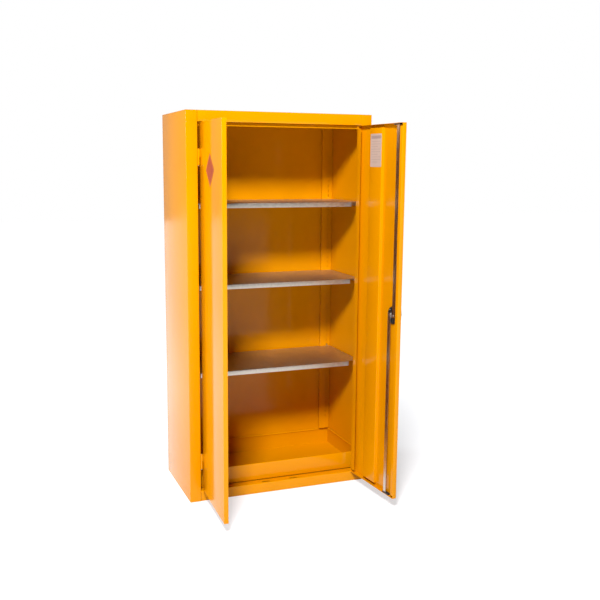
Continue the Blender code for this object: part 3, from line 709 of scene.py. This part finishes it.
def make_upright(end, side):
    node = f"upright_{end}_{side}"
    low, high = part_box(node)
    inner, outer = sorted((abs(low.x), abs(high.x)))
    web, back = (high.y, low.y) if end == "front" else (low.y, high.y)
    path = [(outer, back), (outer, web), (inner, web), (inner, back)]
    if end == "rear":
        path.reverse()
    upright = folded(f"{node}_channel", path, low.z, high.z, SHEET, UPRIGHT, side == "left")
    x = SLOT_X if side == "right" else -SLOT_X
    places = [(x, web, LOWEST_SLOT_Z + index * SLOT_PITCH) for index in range(SLOT_COUNT)]
    cut(upright, slot_cutter(f"{node}_slots", places, SLOT_HEIGHT, SLOT_WIDTH, UPRIGHT, True))
    soften(upright, SLOT_EDGE)
    shade(upright)
    take_over(upright, "cabinet", "yellow_paint", node)


def make_shelf(level):
    """Galvanised tray shelf with folded lips and its corners notched for the uprights."""
    node = f"shelf_{level}"
    low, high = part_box(node)
    setback = high.x - SHELF_NOTCH_X + SHELF_LIP_GAP
    lips = [(1, end, SHELF_RETURN, setback) for end in (-1, 1)]
    shelf = open_box(f"{node}_tray", low, high, 2, -1, SHELF_SHEET, UPRIGHT, lips)
    corners = []
    for start, end in ((SHELF_NOTCH_X, high.x + CLEAR), (low.x - CLEAR, -SHELF_NOTCH_X)):
        for near, far in (
            (low.y - CLEAR, low.y + SHELF_NOTCH_DEPTH),
            (high.y - SHELF_NOTCH_DEPTH, high.y + CLEAR),
        ):
            corners.append(((start, near, low.z - CLEAR), (end, far, high.z + CLEAR)))
    cut(shelf, boxes(f"{node}_notches", corners, UPRIGHT))
    shade(shelf)
    take_over(shelf, node, "galvanised_steel", node)


# ---------------------------------------------------------------- doors


def make_door_pan(door):
    """Outer skin with flanges on four sides, and lips turned in on the two long ones."""
    node = f"door_{door.side}_pan"
    low, high = door.box(node)
    lips = [
        (0, -door.sign, HINGE_LIP, LIP_SETBACK),
        (0, door.sign, FREE_LIP, LIP_SETBACK),
    ]
    pan = open_box(f"{node}_sheet", low, high, 1, 1, SHEET, door.matrix, lips)
    y = AXIS_PROUD + ROD_DEPTH
    if door.side == "left":
        at_foot = at_top = BOLT_FROM_AXIS
    else:
        at_foot, at_top = LOCK_FROM_AXIS - ROD_SWING, LOCK_FROM_AXIS + ROD_SWING
    places = [(door.sign * at_foot, y, low.z), (door.sign * at_top, y, high.z)]
    cutters = [slot_cutter(f"{node}_slots", places, ROD_SLOT_LENGTH, ROD_SLOT_WIDTH, door.matrix)]
    if door.side == "right":
        cutters.append(turned("lock_hole", cylinder(LOCK_HOLE_RADIUS, -0.01, 0.01), door))
    cut(pan, *cutters)
    shade(pan)
    take_over(pan, door.body, "yellow_paint", node)


def make_top_hat(door, node, brim, sheet, slot):
    """Folded top-hat section lying against the inside of the skin."""
    low, high = door.box(node)
    near, far = sorted((abs(low.x), abs(high.x)))
    foot, crown = low.y, high.y - sheet
    path = [
        (near, foot),
        (near + brim, foot),
        (near + brim, crown),
        (far - brim, crown),
        (far - brim, foot),
        (far, foot),
    ]
    hat = folded(f"{node}_hat", path, low.z, high.z, sheet, door.matrix, door.sign < 0)
    take_over(hat, door.body, slot, node)


def make_spot_welds(door):
    """Rows of shallow weld dimples along the stiffener's brims."""
    low, high = door.box(f"door_{door.side}_stiffener")
    near, far = sorted((abs(low.x), abs(high.x)))
    pitch = (high.z - low.z - 2 * WELD_MARGIN) / (WELD_COUNT - 1)
    shape = bmesh.new()
    for row in (near + STIFFENER_BRIM / 2, far - STIFFENER_BRIM / 2):
        for index in range(WELD_COUNT):
            z = low.z + WELD_MARGIN + pitch * index
            place = Matrix.Translation((door.sign * row, low.y + SHEET, z))
            lathe(shape, WELD_DIMPLE, place @ INWARDS, 16)
    bmesh.ops.recalc_face_normals(shape, faces=shape.faces)
    welds = add_object(f"door_{door.side}_spot_welds", shape, door.matrix)
    shade(welds, 60)
    take_over(welds, door.body, "yellow_paint")


def turned(name, profile, door, from_axis=LOCK_FROM_AXIS, z=LOCK_Z, segments=48):
    """A turned solid on a door, its heights measured from the door's outer face inwards."""
    shape = bmesh.new()
    place = Matrix.Translation((door.sign * from_axis, AXIS_PROUD, z))
    lathe(shape, profile, place @ INWARDS, segments)
    bmesh.ops.remove_doubles(shape, verts=shape.verts, dist=1e-6)
    bmesh.ops.recalc_face_normals(shape, faces=shape.faces)
    return add_object(name, shape, door.matrix)


def cylinder(radius, start, end):
    """A plain cylinder's (radius, height) profile for turned()."""
    return [(0, start), (radius, start), (radius, end), (0, end)]


def join(piece, *others):
    """Melts other pieces into one closed mesh."""
    for other in others:
        merge = piece.modifiers.new("merge", "BOOLEAN")
        merge.operation = "UNION"
        merge.solver = "EXACT"
        merge.object = other
    apply_modifiers(piece)
    for other in others:
        bpy.data.objects.remove(other, do_unlink=True)


def make_lock_body(door):
    """Round housing with a rolled rim and a raised centre boss."""
    low, high = door.box("lock_body")
    radius = (high.x - low.x) / 2
    back, face = low.y - AXIS_PROUD, high.y - AXIS_PROUD
    sunk = face - 0.0012
    profile = [
        (LOCK_BORE, back),
        (radius, back),
        (radius, face - 0.0018),
        (radius - 0.0006, face - 0.0006),
        (radius - 0.0020, face),
        (radius - 0.0048, face),
        (radius - 0.0060, sunk),
        (0.0160, sunk),
        (0.0150, face),
        (LOCK_BORE, face),
        (LOCK_BORE, back),
    ]
    body = turned("lock_housing", profile, door, segments=64)
    shade(body)
    take_over(body, door.body, "black_plastic", "lock_body")
    for index, (dx, dz) in enumerate(((1, 1), (-1, 1), (-1, -1), (1, -1))):
        from_axis = LOCK_FROM_AXIS + dx * SCREW_OFFSET
        z = LOCK_Z + dz * SCREW_OFFSET
        make_screw(f"lock_screw_{index + 1}", door, from_axis, z, face)


def make_screw(name, door, from_axis, z, face):
    """Pan-head screw with a crossed recess, its head on a face at that height."""
    head = [
        (0, face - 0.0012),
        (SCREW_RADIUS, face - 0.0012),
        (SCREW_RADIUS, face - 0.0002),
        (0.0022, face + 0.0006),
        (0.0010, face + 0.0008),
        (0, face + 0.0008),
    ]
    screw = turned(name, head, door, from_axis, z, 20)
    centre = Vector((door.sign * from_axis, AXIS_PROUD + face + RECESS_HALF_DEPTH, z))
    arms = []
    for half_x, half_z in (
        (RECESS_HALF_LENGTH, RECESS_HALF_WIDTH),
        (RECESS_HALF_WIDTH, RECESS_HALF_LENGTH),
    ):
        half = Vector((half_x, RECESS_HALF_DEPTH, half_z))
        arms.append(boxes("recess", [(centre - half, centre + half)], door.matrix))
    cut(screw, *arms)
    shade(screw)
    take_over(screw, door.body, "bright_steel")


def make_bezel(door):
    """Round rose under the handle, with a fine step inside its rim."""
    low, high = door.box("handle_bezel")
    radius = (high.x - low.x) / 2
    front, back = low.y - AXIS_PROUD, high.y - AXIS_PROUD
    profile = [
        (LOCK_BORE, back),
        (radius, back),
        (radius, front + 0.0030),
        (radius - 0.0010, front + 0.0012),
        (radius - 0.0040, front + 0.0002),
        (radius - 0.0070, front),
        (0.0300, front + 0.0004),
        (0.0290, front + 0.0014),
        (LOCK_BORE, front + 0.0014),
        (LOCK_BORE, back),
    ]
    bezel = turned("handle_rose", profile, door, segments=64)
    shade(bezel)
    take_over(bezel, door.body, "black_plastic", "handle_bezel")


def rounded_square(angle, half_width, half_depth):
    """A point of the grip's section: a circle swollen towards a square."""
    return [
        half * math.copysign(abs(part) ** GRIP_SQUARENESS, part)
        for half, part in ((half_width, math.cos(angle)), (half_depth, math.sin(angle)))
    ]


def make_grip(door, front, hub_front, half_length):
    """The handle's grip: sections along Z that narrow a little and close at both ends."""
    shape = bmesh.new()
    rings = []
    for step in range(GRIP_STEPS + 1):
        ratio = math.sin((-1 + 2 * step / GRIP_STEPS) * math.pi / 2)
        z = LOCK_Z + half_length * ratio
        cap = max(0.02, (1 - abs(ratio) ** 7)) ** 0.5
        half_width = GRIP_HALF_WIDTH * (1 - 0.16 * abs(ratio) ** 1.3) * cap
        crown = front + 0.0030 * abs(ratio) ** 2 + 0.007 * (1 - cap)
        base = hub_front + 0.0045 - 0.007 * (1 - cap)
        ring = []
        for side in range(GRIP_SIDES):
            angle = 2 * math.pi * side / GRIP_SIDES
            x, y = rounded_square(angle, half_width, (base - crown) / 2)
            centre = Vector((door.sign * LOCK_FROM_AXIS, AXIS_PROUD + (crown + base) / 2, z))
            ring.append(shape.verts.new(centre + Vector((x, y, 0))))
        rings.append(ring)
    for first, second in zip(rings, rings[1:]):
        for side in range(GRIP_SIDES):
            after = (side + 1) % GRIP_SIDES
            shape.faces.new((first[side], first[after], second[after], second[side]))
    shape.faces.new(reversed(rings[0]))
    shape.faces.new(rings[-1])
    bmesh.ops.recalc_face_normals(shape, faces=shape.faces)
    return add_object("handle_grip", shape, door.matrix)


def make_handle(door):
    """Moulded wing handle: a round hub with a waisted grip across it, bored for the key barrel."""
    low, high = door.box("handle")
    front, nose = low.y - AXIS_PROUD, high.y - AXIS_PROUD
    half_length = (high.z - low.z) / 2
    hub_front = front + HUB_DEPTH
    hub_back = hub_front + HUB_THICKNESS
    profile = [
        (0, hub_front),
        (0.0190, hub_front),
        (0.0235, hub_front + 0.0012),
        (0.0258, hub_front + 0.0040),
        (HUB_RADIUS, hub_back),
        (BARREL_STEM, hub_back),
        (BARREL_STEM, nose - BARREL_NOSE),
        (BARREL_TIP, nose - BARREL_NOSE),
        (BARREL_TIP, nose),
        (0, nose),
    ]
    hub = turned("handle_hub", profile, door)
    join(hub, make_grip(door, front, hub_front, half_length))
    bore = cylinder(LOCK_BORE, front - 0.01, front + BARREL_BORE_DEPTH)
    cut(hub, turned("barrel_bore", bore, door))
    hub.name = "handle_moulding"
    shade(hub, 40)
    take_over(hub, "lock_turn", "black_plastic", "handle")


def make_cam(door):
    """Round-ended cam plate with a headed pin at each end and a nut on the shaft."""
    low, high = door.box("lock_cam")
    start, end = low.y, low.y + CAM_SHEET
    shape = bmesh.new()
    place = Matrix.Translation((door.sign * LOCK_FROM_AXIS, 0, LOCK_Z))
    outline = stadium(high.x - low.x, high.z - low.z, 12)
    prism(shape, outline, start, end, place @ INWARDS)
    bmesh.ops.recalc_face_normals(shape, faces=shape.faces)
    cam = add_object("lock_cam_plate", shape, door.matrix)
    pins = []
    top, face = high.y - AXIS_PROUD, end - AXIS_PROUD
    profile = [
        (0, face - 0.001),
        (CAM_PIN_RADIUS, face - 0.001),
        (CAM_PIN_RADIUS, top - 0.0004),
        (CAM_PIN_RADIUS - 0.0004, top),
        (0, top),
    ]
    for arm in (-CAM_PIN_ARM, CAM_PIN_ARM):
        pins.append(turned("pin", profile, door, LOCK_FROM_AXIS + arm, LOCK_Z, 24))
    nut = turned("nut", cylinder(NUT_RADIUS, face - 0.0005, face + NUT_HEIGHT), door, segments=6)
    join(cam, *pins, nut)
    soften(cam)
    shade(cam)
    take_over(cam, "lock_turn", "bright_steel", "lock_cam")


# ---------------------------------------------------------------- labels


def rounded_rectangle(width, height, radius, steps=4):
    outline = []
    for index, (sx, sy) in enumerate(((1, 1), (-1, 1), (-1, -1), (1, -1))):
        for step in range(steps + 1):
            angle = math.radians(90 * (index + step / steps))
            x = sx * (width / 2 - radius) + radius * math.cos(angle)
            outline.append((x, sy * (height / 2 - radius) + radius * math.sin(angle)))
    return outline


def layered_label(name, node, door, layers, turn_deg, outward, slot):
    """A sticker of layers, each (width, height, x, y, share of its thickness, material)."""
    low, high = door.box(node)
    centre = (low + high) / 2
    thickness = high.y - low.y
    base = high.y if outward else low.y
    facing = math.radians(90 if outward else -90)
    turn = Matrix.Rotation(math.radians(turn_deg), 4, "Y") @ Matrix.Rotation(facing, 4, "X")
    place = Matrix.Translation((centre.x, base, centre.z)) @ turn
    shape = bmesh.new()
    for width, height, x, y, level, index in layers:
        before = set(shape.faces)
        corner = min(LABEL_CORNER, width / 4, height / 4)
        outline = [(x + px, y + py) for px, py in rounded_rectangle(width, height, corner)]
        prism(shape, outline, 0, thickness * level, place)
        for face in set(shape.faces) - before:
            face.material_index = index
    bmesh.ops.recalc_face_normals(shape, faces=shape.faces)
    label = add_object(name, shape, door.matrix)
    label.data.materials.append(MATERIALS[slot])
    label.data.materials.append(LABEL_BORDER if slot == "red_label" else LABEL_PRINT)
    take_over(label, door.body, slot, node)


def make_diamond_label(door):
    """Plain red diamond with a paler line round it."""
    side, line, field = DIAMOND_SIDE, DIAMOND_SIDE - 0.008, DIAMOND_SIDE - 0.013
    layers = [
        (side, side, 0, 0, 0.60, 0),
        (line, line, 0, 0, 0.78, 1),
        (field, field, 0, 0, 0.96, 0),
    ]
    layered_label("diamond_sticker", "diamond_label", door, layers, 45, True, "red_label")


def make_notice_label(door):
    """Pale notice with a bar and plain lines in place of its print."""
    low, high = door.box("notice_label")
    width, height = high.x - low.x, high.z - low.z
    layers = [
        (width, height, 0, 0, 0.70, 0),
        (width - 0.012, NOTICE_HEADER, 0, height / 2 - 0.015, 0.92, 1),
    ]
    full = width - NOTICE_MARGIN
    for index in range(NOTICE_LINES):
        length = full * (NOTICE_SHORT_LINE if index % 3 == 2 else 1.0)
        y = height / 2 - 0.034 - index * NOTICE_LINE_PITCH
        layers.append((length, NOTICE_LINE_WIDTH, -(full - length) / 2, y, 0.92, 1))
    layered_label("notice_sticker", "notice_label", door, layers, 180, False, "pale_label")


# ---------------------------------------------------------------- nodes kept from the CAD

# How much the raw edges of a CAD node are rounded, by the start of its name.
SOFTENED = {
    "lock_rod": 0.0007,
    "slide_bolt": 0.0007,
    "rod_guide": 0.0006,
    "shelf_clip": 0.0004,
    "hinge": 0.0003,
    "key_barrel": 0.0003,
    "back_panel": 0.0003,
    "base_channel": 0.0004,
}


def finish_cad_nodes():
    """Paints every CAD node and rounds the raw edges of those that stay in view."""
    for name, node in NODES.items():
        for slot in node.material_slots:
            slot.link = "OBJECT"
            slot.material = MATERIALS[SLOTS[name]]
        for start, width in SOFTENED.items():
            if name.startswith(start):
                soften(node, width)


# ---------------------------------------------------------------- studio and camera


def make_stage():
    """White floor that glows, but not under the cabinet, where its light would leak up."""
    bpy.ops.mesh.primitive_plane_add(size=FLOOR_SIZE, location=(0, 0, CAD_BOX[0].z))
    floor = bpy.context.object
    floor.name = "studio_floor"
    white = Shader("studio_floor", (0.45, 0.45, 0.45), 0.9)
    white.set("Specular IOR Level", 0.0)
    tone = white.mix(white.noise(0.7, 2.0), (0.44, 0.44, 0.45), (0.46, 0.46, 0.47))
    white.drive(tone, "Base Color")
    white.set("Emission Color", (0.97, 0.98, 1.0, 1.0))
    distance = white.node("ShaderNodeVectorMath")
    distance.operation = "LENGTH"
    white.link(white.coordinates, distance.inputs[0])
    glow = white.spread(distance.outputs["Value"], FLOOR_GLOW, 1.0, GLOW_START, GLOW_END)
    split = white.node("ShaderNodeSeparateXYZ", Vector=white.coordinates)
    past_side, past_front = (
        white.math("GREATER_THAN", white.math("ABSOLUTE", split.outputs[axis]), reach)
        for axis, reach in (("X", UNDER_X), ("Y", UNDER_Y))
    )
    open_floor = white.math("MAXIMUM", past_side, past_front)
    white.drive(white.math("MULTIPLY", glow, open_floor), "Emission Strength")
    floor.data.materials.append(white.material)


def make_world():
    """A white cove behind the cabinet and a darker studio in front of it, white to the camera."""
    world = bpy.data.worlds.new("studio")
    bpy.context.scene.world = world
    world.use_nodes = True
    tree = world.node_tree
    background = tree.nodes["Background"]
    background.inputs["Color"].default_value = (1.0, 1.0, 1.0, 1.0)
    direction = tree.nodes.new("ShaderNodeTexCoord").outputs["Generated"]
    split = tree.nodes.new("ShaderNodeSeparateXYZ")
    tree.links.new(direction, split.inputs[0])
    cove = tree.nodes.new("ShaderNodeMapRange")
    tree.links.new(split.outputs["Y"], cove.inputs["Value"])
    cove.inputs["From Min"].default_value = COVE_START
    cove.inputs["From Max"].default_value = COVE_END
    cove.inputs["To Min"].default_value = WORLD_FRONT
    cove.inputs["To Max"].default_value = WORLD_BACK
    seen = tree.nodes.new("ShaderNodeLightPath").outputs["Is Camera Ray"]
    strength = tree.nodes.new("ShaderNodeMath")
    strength.operation = "MAXIMUM"
    tree.links.new(cove.outputs["Result"], strength.inputs[0])
    tree.links.new(seen, strength.inputs[1])
    tree.links.new(strength.outputs[0], background.inputs["Strength"])


def add_softbox(name, position, target, size, power):
    """A square area light aimed at the target."""
    data = bpy.data.lights.new(name, "AREA")
    data.shape = "RECTANGLE"
    data.size = data.size_y = size
    data.energy = power
    light = bpy.data.objects.new(name, data)
    bpy.context.scene.collection.objects.link(light)
    light.location = position
    aim = Vector(target) - Vector(position)
    light.rotation_euler = aim.to_track_quat("-Z", "Y").to_euler()


def make_camera():
    """Stands left of the doorway at head height and looks slightly right and down."""
    data = bpy.data.cameras.new("camera")
    data.sensor_width = CAMERA_SENSOR
    data.lens = CAMERA_LENS
    data.shift_x, data.shift_y = CAMERA_SHIFT
    camera = bpy.data.objects.new("camera", data)
    bpy.context.scene.collection.objects.link(camera)
    turn = (
        Matrix.Rotation(CAMERA_HEADING, 3, "Z")
        @ Matrix.Rotation(CAMERA_PITCH, 3, "X")
        @ Matrix.Rotation(CAMERA_ROLL, 3, "Y")
        @ Matrix.Rotation(math.radians(90), 3, "X")
    )
    camera.matrix_world = Matrix.Translation(CAMERA_PLACE) @ turn.to_4x4()
    bpy.context.scene.camera = camera


# ---------------------------------------------------------------- everything

for side in ("left", "right"):
    make_side_panel(side)
    for end in ("front", "rear"):
        make_upright(end, side)
make_top_panel()
make_door_stop()
make_base_rail()
make_sump_tray()
for level in ("upper", "middle", "lower"):
    make_shelf(level)
for door in DOORS.values():
    make_door_pan(door)
    make_top_hat(door, f"door_{door.side}_stiffener", STIFFENER_BRIM, SHEET, "yellow_paint")
    make_spot_welds(door)
for end in ("upper", "lower"):
    make_top_hat(DOORS["left"], f"bolt_strap_{end}", STIFFENER_BRIM, STRAP_SHEET, "bright_steel")
make_lock_body(DOORS["right"])
make_bezel(DOORS["right"])
make_handle(DOORS["right"])
make_cam(DOORS["right"])
make_diamond_label(DOORS["left"])
make_notice_label(DOORS["right"])
finish_cad_nodes()
make_stage()
make_world()
for softbox in SOFTBOXES:
    add_softbox(*softbox)
make_camera()
bpy.context.scene.view_settings.view_transform = "Standard"
